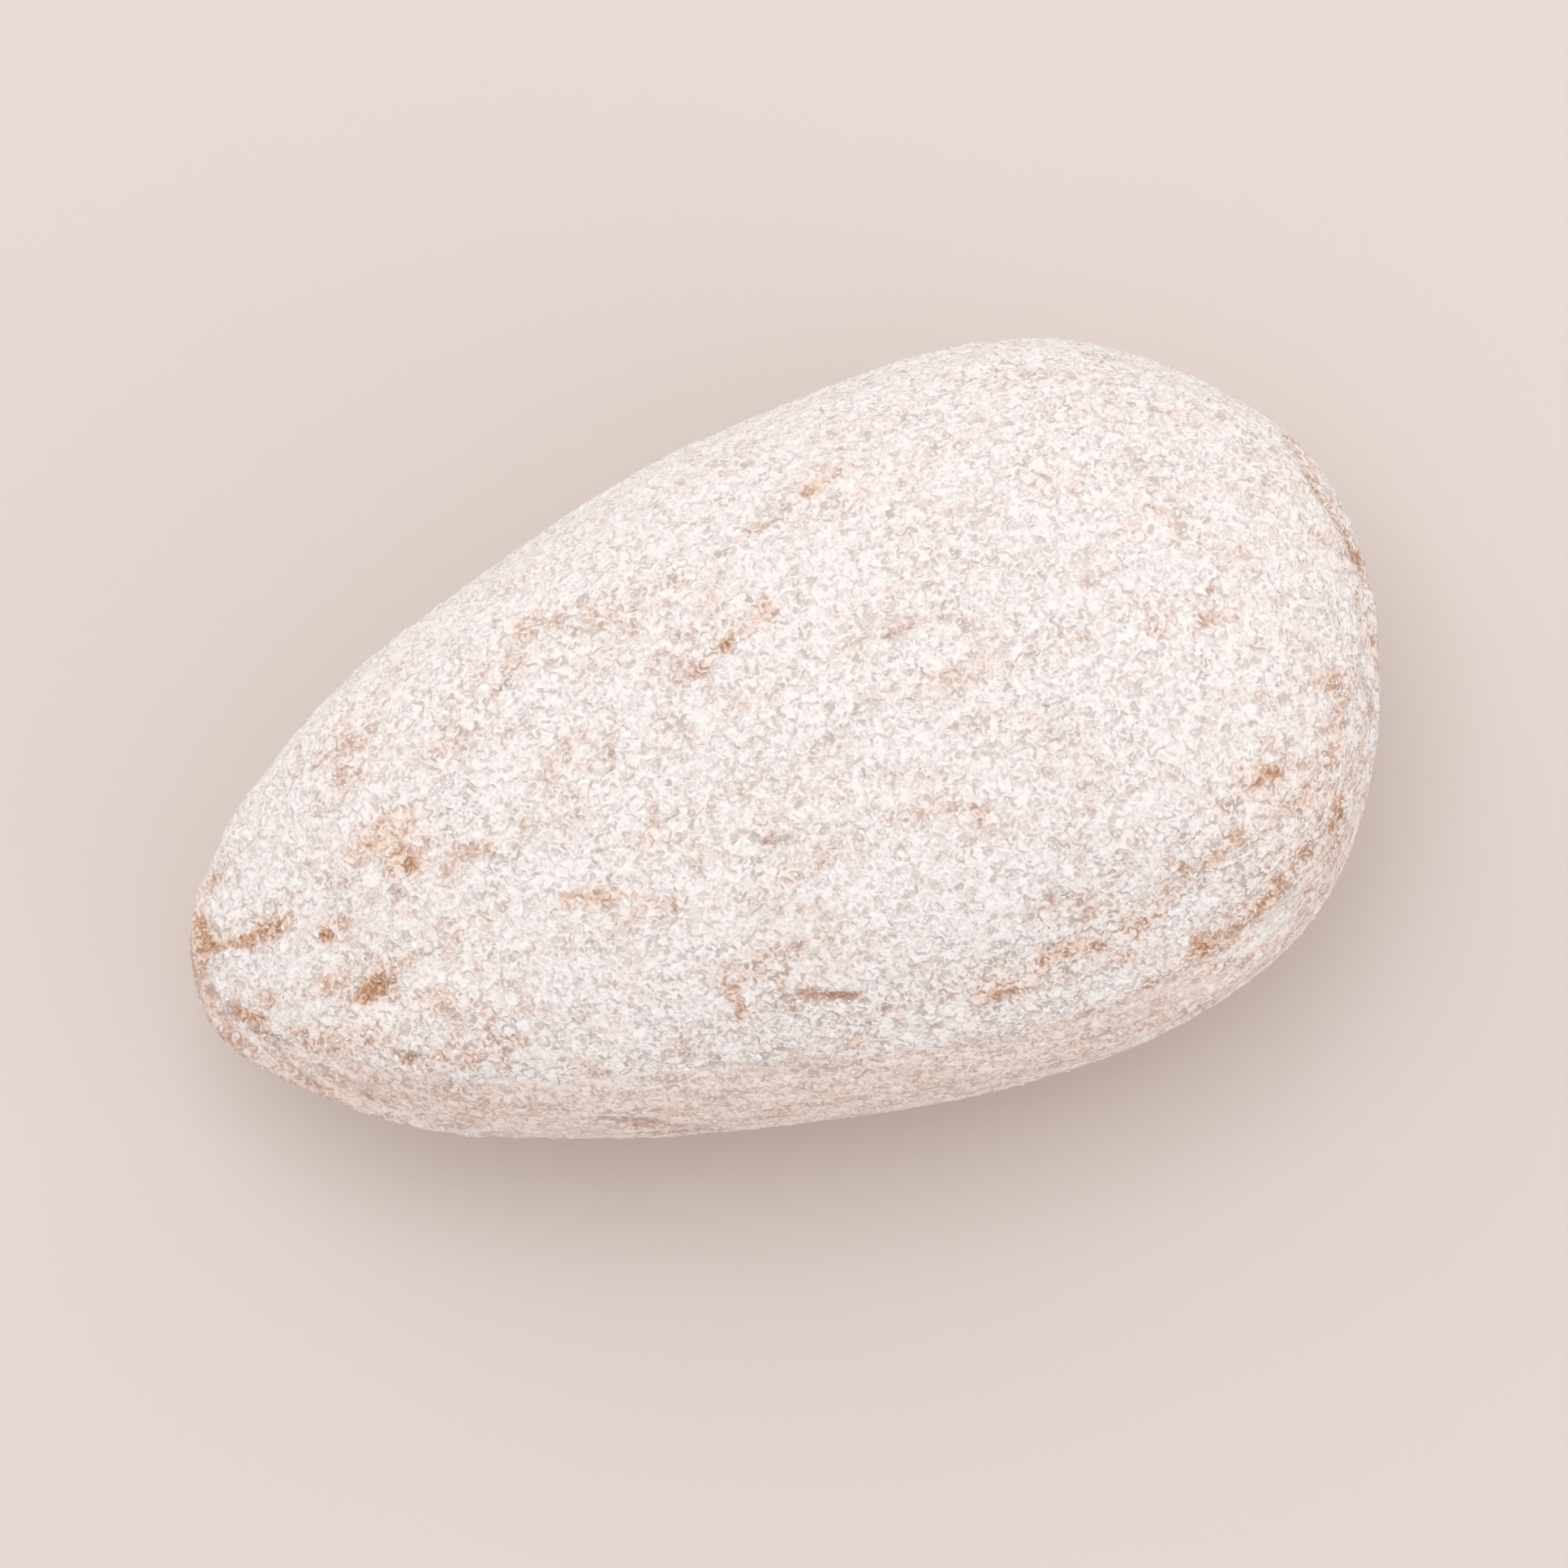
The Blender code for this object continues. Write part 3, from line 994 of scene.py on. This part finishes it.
@dataclass(frozen=True)
class DustedSugar:
    """Boiled sugar rolled in icing powder while warm.

    The powder sticks as a felt of tiny grains, so the surface is dead matte, nearly white where the
    coat is thick, and pinkish beige to tan where the sugar shows through. Real icing powder is about
    0.02 mm, too fine to show, so the felt is drawn as curled folds of 0.18 mm, with painted shade in
    their hollows and a painted highlight on their tops.

    Attributes:
        colours: its colours.
        speckles: its uneven places, from fine to broad.
        shaded_side_folds: the coarser folds, with their painted shade, on the side turned from the
            light.
        patches: the areas with deeper and with shallower folds, and so with stronger and weaker painted
            shade.
        lines: the lines along the flank, drawn as folds with their painted shade.
        finer: how strong each finer size of a speckle is, as a share of the last.
        flank_calm: how much evener the powder lies on the flank.
        to_thin: the cover from which bare sugar goes over into a thin coat, and where that ends.
        to_dusted: the cover from which a thin coat goes over into a full one, and where that ends.
        to_thick: the height from which folds show as crumbs of powder with a painted highlight, and
            where they do so most.
        thickest: how white those crumbs and their painted highlight are at most.
        to_shade: the depth from which folds darken with painted shade, and where they are darkest.
        to_full_shade: the cover where folds have a thin coat's painted shade, and where a full coat's.
        roughness: how dull it is.
        gloss: how much it mirrors, where 0.5 is usual.
        sheen: how bright its rim is, as powder's rim is.
        sheen_roughness: how wide that rim is.
        glow: how much light goes through its outermost layer.
        glow_colours: how far red, green and blue light go, as shares of the depth.
        glow_depth: how deep that light goes.
        bump_height: how high its folds stand.
    """

    colours: SugarColours = SugarColours()
    speckles: tuple[Speckle, ...] = (
        Speckle(0.18 * MM, 0.4, light=0.76, curl=1.2),
        Speckle(0.42 * MM, 0.0, light=0.10, tint=0.26),
        Speckle(0.90 * MM, 0.5, light=0.06, tint=0.31, stretch=OVAL),
    )
    # Coarser folds with painted shade on the side turned from the light
    shaded_side_folds: Speckle = Speckle(0.30 * MM, 0.4, light=0.10, curl=1.2)
    patches: Speckle = Speckle(1.10 * MM, 1.0, light=0.30)
    lines: Speckle = Speckle(0.26 * MM, 1.0, light=0.26, stretch=LEVEL)
    finer: float = 0.55
    flank_calm: float = 0.85
    to_thin: Span = (-0.15, 0.30)
    to_dusted: Span = (0.05, 0.88)
    to_thick: Span = (0.0, 0.5)
    thickest: float = 0.4
    to_shade: Span = (0.3, -0.6)
    to_full_shade: Span = (0.10, 0.75)
    roughness: float = 0.92
    gloss: float = 0.25
    sheen: float = 0.55
    sheen_roughness: float = 0.35
    glow: float = 0.08
    glow_colours: Triple = (1.0, 0.62, 0.45)
    glow_depth: float = 0.4 * MM
    bump_height: float = 0.048 * MM

    def make(self) -> bpy.types.Material:
        """Builds the finish.

        Returns:
            The material.
        """
        material = bpy.data.materials.new("icing_dusted_boiled_sugar")
        material.use_nodes = True
        tree = material.node_tree
        shader = tree.nodes["Principled BSDF"]
        folds, cover = self.folds_and_cover(tree)

        bare, thin, dusted, thick, shade, thin_shade = (
            linear(colour) for colour in astuple(self.colours)
        )
        hue = fade(tree, cover, self.to_thin, bare, thin)
        hue = fade(tree, cover, self.to_dusted, hue, dusted)
        # Painted highlight: the folds' tops whiten towards the crumbs' colour
        hue = fade(tree, folds, self.to_thick, hue, thick, most=self.thickest)
        # Painted shade: the folds' hollows darken, grey on a full coat and tan where the coat is thin
        dark = fade(tree, cover, self.to_full_shade, thin_shade, shade)
        hue = fade(tree, folds, self.to_shade, hue, dark, way="MULTIPLY")
        tree.links.new(hue, shader.inputs["Base Color"])
        bump = add_node(tree, "ShaderNodeBump", {"Distance": self.bump_height, "Height": folds})
        tree.links.new(bump.outputs["Normal"], shader.inputs["Normal"])

        shader.inputs["Roughness"].default_value = self.roughness
        shader.inputs["Specular IOR Level"].default_value = self.gloss
        shader.inputs["Sheen Weight"].default_value = self.sheen
        shader.inputs["Sheen Roughness"].default_value = self.sheen_roughness
        shader.inputs["Subsurface Weight"].default_value = self.glow
        shader.inputs["Subsurface Radius"].default_value = self.glow_colours
        shader.inputs["Subsurface Scale"].default_value = self.glow_depth
        return material

    def folds_and_cover(self, tree: bpy.types.NodeTree) -> tuple[Socket, Socket]:
        """Works out the two patterns that the colours follow.

        Args:
            tree: the material's node tree.

        Returns:
            How high or low each spot of the felt is, and how well the powder hides the sugar there.
        """
        here = add_node(tree, "ShaderNodeTexCoord").outputs["Object"]
        dust, rough, flank, shaded_side, shade = (
            add_node(tree, "ShaderNodeAttribute", {"attribute_name": name}).outputs["Fac"]
            for name in ("dust", "rough", "flank", "shaded_side", "shade")
        )
        patterns = (*self.speckles, self.shaded_side_folds, self.patches, self.lines)
        *spots, coarse, patches, lines = (
            add_node(
                tree,
                "ShaderNodeTexNoise",
                {
                    "normalize": False,
                    "Vector": add_node(
                        tree,
                        "ShaderNodeVectorMath",
                        {"operation": "DIVIDE", 0: here, 1: pattern.stretch},
                    ).outputs[0],
                    "Scale": 1.0 / pattern.size,
                    "Detail": pattern.detail,
                    "Roughness": self.finer,
                    "Distortion": pattern.curl,
                },
            ).outputs["Fac"]
            for pattern in patterns
        )
        light = [(spot, speckle.light) for spot, speckle in zip(spots, self.speckles)]
        tint = [(spot, speckle.tint) for spot, speckle in zip(spots, self.speckles)]
        on_shaded_side = weigh(tree, [(coarse, self.shaded_side_folds.light)])
        drawn = weigh(tree, [(lines, self.lines.light)])
        felt = weigh(tree, [*light, (on_shaded_side, shaded_side)])
        rougher = weigh(tree, [(patches, self.patches.light)], rough)
        # The marks' painted shade lowers the folds, which darkens them
        folds = weigh(tree, [(felt, rougher), (drawn, flank), (shade, -1.0)])
        even = weigh(tree, [(flank, -self.flank_calm)], 1.0)
        return folds, weigh(tree, [(weigh(tree, tint), even)], dust)


@dataclass(frozen=True)
class IcingGrain:
    """Icing powder caked in small grains: dull white crystals, slightly warm in their own shade.

    Attributes:
        light: the whitest grain's colour.
        warm: the warmest grain's colour.
        roughness: how dull they are.
        gloss: how much they mirror, where 0.5 is usual.
        glow: how much light goes through them.
        glow_depth: how deep that light goes.
    """

    light: str = "FAF7F6"
    warm: str = "EFE7E3"
    roughness: float = 0.85
    gloss: float = 0.3
    glow: float = 0.1
    glow_depth: float = 0.2 * MM

    def make(self) -> bpy.types.Material:
        """Builds the finish.

        Returns:
            The material.
        """
        material = bpy.data.materials.new("caked_icing_powder")
        material.use_nodes = True
        tree = material.node_tree
        shader = tree.nodes["Principled BSDF"]
        tone = add_node(tree, "ShaderNodeAttribute", {"attribute_name": "tone"}).outputs["Fac"]
        mix = add_node(
            tree,
            "ShaderNodeMix",
            {"data_type": "RGBA", 0: tone, 6: linear(self.warm), 7: linear(self.light)},
        )
        tree.links.new(mix.outputs[2], shader.inputs["Base Color"])
        shader.inputs["Roughness"].default_value = self.roughness
        shader.inputs["Specular IOR Level"].default_value = self.gloss
        shader.inputs["Subsurface Weight"].default_value = self.glow
        shader.inputs["Subsurface Scale"].default_value = self.glow_depth
        return material


@dataclass
class CandyBody:
    """The candy itself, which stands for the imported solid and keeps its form.

    Attributes:
        weld: how close two loose corners of the solid lie to be one.
        voxel: the spacing of its fine skin.
        rounds: how often the skin is smoothed before its own relief goes on.
        smoothing: how far each round moves a point towards the middle of its neighbours.
        coat: its powder.
    """

    weld: float = 0.001 * MM
    voxel: float = 0.136 * MM
    rounds: int = 14
    smoothing: float = 0.5
    coat: Coat = Coat()

    def build(self, finish: bpy.types.Material) -> bpy.types.Object:
        """Models the skin, gives it its relief and dresses it.

        Args:
            finish: the dusted sugar.

        Returns:
            The finished piece.
        """
        body = self.copy_solid()
        apply_modifier(body, "REMESH", mode="VOXEL", voxel_size=self.voxel)
        apply_modifier(body, "SMOOTH", factor=self.smoothing, iterations=self.rounds)
        self.coat.lay(Skin.read(body.data))
        select_only(body)
        bpy.ops.object.shade_smooth()
        body.data.materials.clear()
        body.data.materials.append(finish)
        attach(body, BODY)
        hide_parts(NODE)
        return body

    def copy_solid(self) -> bpy.types.Object:
        """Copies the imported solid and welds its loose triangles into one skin.

        Returns:
            The copy.
        """
        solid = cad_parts[NODE]
        body = solid.copy()
        body.data = solid.data.copy()
        body.name = body.data.name = "dusted_body"
        body.parent = None
        bpy.context.scene.collection.objects.link(body)
        select_only(body)
        bpy.ops.object.mode_set(mode="EDIT")
        bpy.ops.mesh.select_all(action="SELECT")
        bpy.ops.mesh.remove_doubles(threshold=self.weld)
        bpy.ops.mesh.normals_make_consistent(inside=False)
        bpy.ops.object.mode_set(mode="OBJECT")
        return body


@dataclass
class PowderGrains:
    """Grains of one size, scattered over the body and sunk into its coat.

    Attributes:
        name: the piece's name.
        size: the longest grain's length.
        spacing: how close two grains may lie.
        density: grains on each square metre, before the close ones are left out.
        narrowness: a grain's width, as a share of its length.
        flatness: a grain's height, as a share of its length.
        sides: how many sides a grain has round its middle.
        rings: how many rings of faces it has from bottom to top.
        seed: chooses the pattern.
        smallest: the smallest grain's length, as a share of the longest one's.
        mostly_small: how much commoner the small ones are, where 1 is equally common.
        sunk: how deep a grain's middle lies, as a share of its height.
        uneven: how far a grain's corners stray, as a share of its length.
        lean: how far a grain leans over at most.
        size_seed: chooses the sizes.
        tone_seed: chooses the tones.
    """

    name: str
    size: float
    spacing: float
    density: float
    narrowness: float
    flatness: float
    sides: int
    rings: int
    seed: int
    smallest: float = 0.5
    mostly_small: float = 1.7
    sunk: float = 0.12
    uneven: float = 0.12
    lean: float = 0.35
    size_seed: int = 3
    tone_seed: int = 9

    def model_grain(self) -> bpy.types.Object:
        """Models one uneven grain of length 1, sunk a little below its own middle.

        Returns:
            The grain that is copied.
        """
        bpy.ops.object.select_all(action="DESELECT")
        bpy.ops.mesh.primitive_uv_sphere_add(
            segments=self.sides, ring_count=self.rings, radius=0.5
        )
        grain = bpy.context.active_object
        grain.name = self.name + "_grain"
        bpy.ops.object.mode_set(mode="EDIT")
        bpy.ops.mesh.select_all(action="SELECT")
        bpy.ops.transform.vertex_random(offset=self.uneven, uniform=1.0, seed=self.seed)
        bpy.ops.transform.resize(value=(1.0, self.narrowness, self.flatness))
        bpy.ops.transform.translate(value=(0.0, 0.0, -self.sunk * self.flatness))
        bpy.ops.object.mode_set(mode="OBJECT")
        return grain

    def scatter_tree(self, grain: bpy.types.Object) -> bpy.types.NodeTree:
        """Builds the nodes that scatter the grain over a skin and keep the grains alone.

        Args:
            grain: the grain that is copied.

        Returns:
            The node tree for a Geometry Nodes modifier.
        """
        tree = bpy.data.node_groups.new(self.name, "GeometryNodeTree")
        tree.interface.new_socket("Skin", in_out="INPUT", socket_type="NodeSocketGeometry")
        tree.interface.new_socket("Grains", in_out="OUTPUT", socket_type="NodeSocketGeometry")
        skin = add_node(tree, "NodeGroupInput").outputs[0]
        wanted = add_node(
            tree, "GeometryNodeInputNamedAttribute", {"data_type": "FLOAT", "Name": "grains"}
        ).outputs["Attribute"]
        points = add_node(
            tree,
            "GeometryNodeDistributePointsOnFaces",
            {
                "distribute_method": "POISSON",
                "Mesh": skin,
                "Distance Min": self.spacing,
                "Density Max": self.density,
                "Density Factor": wanted,
                "Seed": self.seed,
            },
        )
        least, most = (-self.lean, -self.lean, 0.0), (self.lean, self.lean, math.tau)
        turn = add_node(
            tree, "FunctionNodeRandomValue", {"data_type": "FLOAT_VECTOR", 0: least, 1: most}
        ).outputs[0]
        turned = add_node(
            tree,
            "FunctionNodeRotateRotation",
            {
                "rotation_space": "LOCAL",
                "Rotation": points.outputs["Rotation"],
                "Rotate By": add_node(
                    tree, "FunctionNodeEulerToRotation", {"Euler": turn}
                ).outputs[0],
            },
        ).outputs[0]
        draw = add_node(
            tree, "FunctionNodeRandomValue", {"data_type": "FLOAT", "Seed": self.size_seed}
        ).outputs[1]
        growth = add_node(
            tree, "ShaderNodeMath", {"operation": "POWER", 0: draw, 1: self.mostly_small}
        ).outputs[0]
        scale = add_node(
            tree,
            "ShaderNodeMapRange",
            {"Value": growth, "To Min": self.size * self.smallest, "To Max": self.size},
        ).outputs["Result"]
        copies = add_node(
            tree,
            "GeometryNodeInstanceOnPoints",
            {
                "Points": points.outputs["Points"],
                "Instance": add_node(
                    tree, "GeometryNodeObjectInfo", {"Object": grain}
                ).outputs["Geometry"],
                "Rotation": turned,
                "Scale": scale,
            },
        ).outputs["Instances"]
        tone = add_node(
            tree, "FunctionNodeRandomValue", {"data_type": "FLOAT", "Seed": self.tone_seed}
        ).outputs[1]
        toned = add_node(
            tree,
            "GeometryNodeStoreNamedAttribute",
            {
                "data_type": "FLOAT",
                "domain": "INSTANCE",
                "Geometry": copies,
                "Name": "tone",
                "Value": tone,
            },
        ).outputs["Geometry"]
        real = add_node(
            tree, "GeometryNodeRealizeInstances", {"Geometry": toned}
        ).outputs["Geometry"]
        add_node(tree, "NodeGroupOutput", {0: real})
        return tree

    def build(self, body: bpy.types.Object, finish: bpy.types.Material) -> bpy.types.Object:
        """Scatters the grains over the body as one joined mesh.

        Args:
            body: the finished body.
            finish: the grains' material.

        Returns:
            The finished piece.
        """
        grain = self.model_grain()
        piece = bpy.data.objects.new(self.name, body.data.copy())
        bpy.context.scene.collection.objects.link(piece)
        apply_modifier(piece, "NODES", node_group=self.scatter_tree(grain))
        bpy.data.objects.remove(grain)
        piece.data.materials.clear()
        piece.data.materials.append(finish)
        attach(piece, BODY)
        return piece


POWDERS = (
    PowderGrains(
        name="finest_powder",
        size=0.13 * MM,
        spacing=0.20 * MM,
        density=5.0e7,
        narrowness=0.6,
        flatness=0.35,
        sides=4,
        rings=2,
        seed=4,
    ),
    PowderGrains(
        name="fine_powder",
        size=0.18 * MM,
        spacing=0.23 * MM,
        density=3.0e7,
        narrowness=0.5,
        flatness=0.28,
        sides=4,
        rings=2,
        seed=5,
    ),
    PowderGrains(
        name="caked_powder",
        size=0.26 * MM,
        spacing=0.50 * MM,
        density=3.0e6,
        narrowness=0.6,
        flatness=0.20,
        sides=7,
        rings=4,
        seed=8,
    ),
)


@dataclass(frozen=True)
class Softbox:
    """A soft studio lamp that faces the candy.

    Attributes:
        turn: its bearing from the photograph's own up, in degrees clockwise.
        height: its angle above the floor, in degrees.
        distance: how far it stands from the candy.
        size: the width of its square face.
        power: its strength in watts.
    """

    turn: float
    height: float
    distance: float
    size: float
    power: float


@dataclass
class Studio:
    """The plain pale floor, the soft light and the camera at the photograph's angle.

    Attributes:
        roll: how far the camera is turned about its own view.
        tilt: how far it leans over from straight down, so that the candy's low side shows.
        distance: how far it stands from the candy.
        sensor: the width of its sensor, in millimetres.
        floor_size: the width of the square floor.
        floor_gap: how far the floor lies below the candy, so that the two don't share a face.
        floor_shade: the floor's colour.
        floor_roughness: how dull it is.
        floor_gloss: how much it mirrors, where 0.5 is usual.
        lamps: the lamps.
        sky: the colour of the room's even light.
        sky_strength: how strong that light is.
    """

    roll: float = math.radians(19.0)
    tilt: float = math.radians(6.0)
    distance: float = 0.40
    sensor: float = 36.0
    floor_size: float = 3.0
    floor_gap: float = 0.01 * MM
    floor_shade: str = "DDD3CE"
    floor_roughness: float = 0.8
    floor_gloss: float = 0.2
    lamps: tuple[Softbox, ...] = (
        Softbox(turn=-30.0, height=76.0, distance=0.60, size=0.35, power=0.90),
        Softbox(turn=-45.0, height=28.0, distance=0.40, size=0.30, power=0.22),
        Softbox(turn=115.0, height=22.0, distance=0.40, size=0.30, power=0.25),
        Softbox(turn=40.0, height=24.0, distance=0.40, size=0.30, power=0.12),
    )
    sky: str = "F5F3F2"
    sky_strength: float = 0.83

    def build(self) -> None:
        """Sets up the floor, the lamps, the sky and the camera."""
        self.lay_floor()
        for lamp in self.lamps:
            self.hang(lamp)
        self.fill_sky()
        self.place_camera()
        bpy.context.scene.view_settings.view_transform = "Standard"

    def target(self) -> Vector:
        """The middle of the candy, which the camera and the lamps face."""
        low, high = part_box(NODE)
        return (low + high) / 2

    def lay_floor(self) -> None:
        """Lays a wide plain floor under the candy."""
        bpy.ops.object.select_all(action="DESELECT")
        bpy.ops.mesh.primitive_plane_add(size=self.floor_size, location=(0, 0, -self.floor_gap))
        floor = bpy.context.active_object
        floor.name = "floor"
        material = bpy.data.materials.new("matte_pale_board")
        material.use_nodes = True
        shader = material.node_tree.nodes["Principled BSDF"]
        shader.inputs["Base Color"].default_value = linear(self.floor_shade)
        shader.inputs["Roughness"].default_value = self.floor_roughness
        shader.inputs["Specular IOR Level"].default_value = self.floor_gloss
        floor.data.materials.append(material)

    def hang(self, lamp: Softbox) -> None:
        """Hangs a lamp at its bearing and height, facing the candy.

        Args:
            lamp: the lamp.
        """
        light = bpy.data.lights.new("softbox", "AREA")
        light.shape = "SQUARE"
        light.size = lamp.size
        light.energy = lamp.power
        stand = bpy.data.objects.new("softbox", light)
        bearing = math.radians(lamp.turn) + self.roll
        height = math.radians(lamp.height)
        flat = math.cos(height)
        way = Vector((math.sin(bearing) * flat, math.cos(bearing) * flat, math.sin(height)))
        stand.location = self.target() + way * lamp.distance
        stand.rotation_euler = way.to_track_quat("Z", "Y").to_euler()
        stand.visible_camera = False
        bpy.context.scene.collection.objects.link(stand)

    def fill_sky(self) -> None:
        """Fills the room with even light."""
        world = bpy.data.worlds.new("room")
        world.use_nodes = True
        sky = world.node_tree.nodes["Background"]
        sky.inputs["Color"].default_value = linear(self.sky)
        sky.inputs["Strength"].default_value = self.sky_strength
        bpy.context.scene.world = world

    def place_camera(self) -> None:
        """Looks down on the candy as the photograph does, with its tip to the lower left."""
        camera = bpy.data.cameras.new("camera")
        camera.sensor_width = self.sensor
        camera.lens = self.sensor * self.distance / (FRAME_PIXELS * PIXEL)
        stand = bpy.data.objects.new("camera", camera)
        turned = Euler((self.tilt, 0.0, -self.roll))
        back = turned.to_matrix().col[2]
        stand.location = self.target() + back * self.distance
        stand.rotation_euler = turned
        bpy.context.scene.collection.objects.link(stand)
        bpy.context.scene.camera = stand


def triangles(piece: bpy.types.Object) -> int:
    """How many triangles a piece has."""
    return sum(len(face.vertices) - 2 for face in piece.data.polygons)


def main() -> None:
    """Builds the candy, its powder and the studio in order."""
    logging.basicConfig(level=logging.INFO, format="%(name)s: %(message)s")
    body = CandyBody().build(DustedSugar().make())
    log.info("%s: %d triangles", body.name, triangles(body))
    finish = IcingGrain().make()
    for powder in POWDERS:
        piece = powder.build(body, finish)
        log.info("%s: %d triangles", piece.name, triangles(piece))
    Studio().build()


if __name__ == "__main__":
    main()
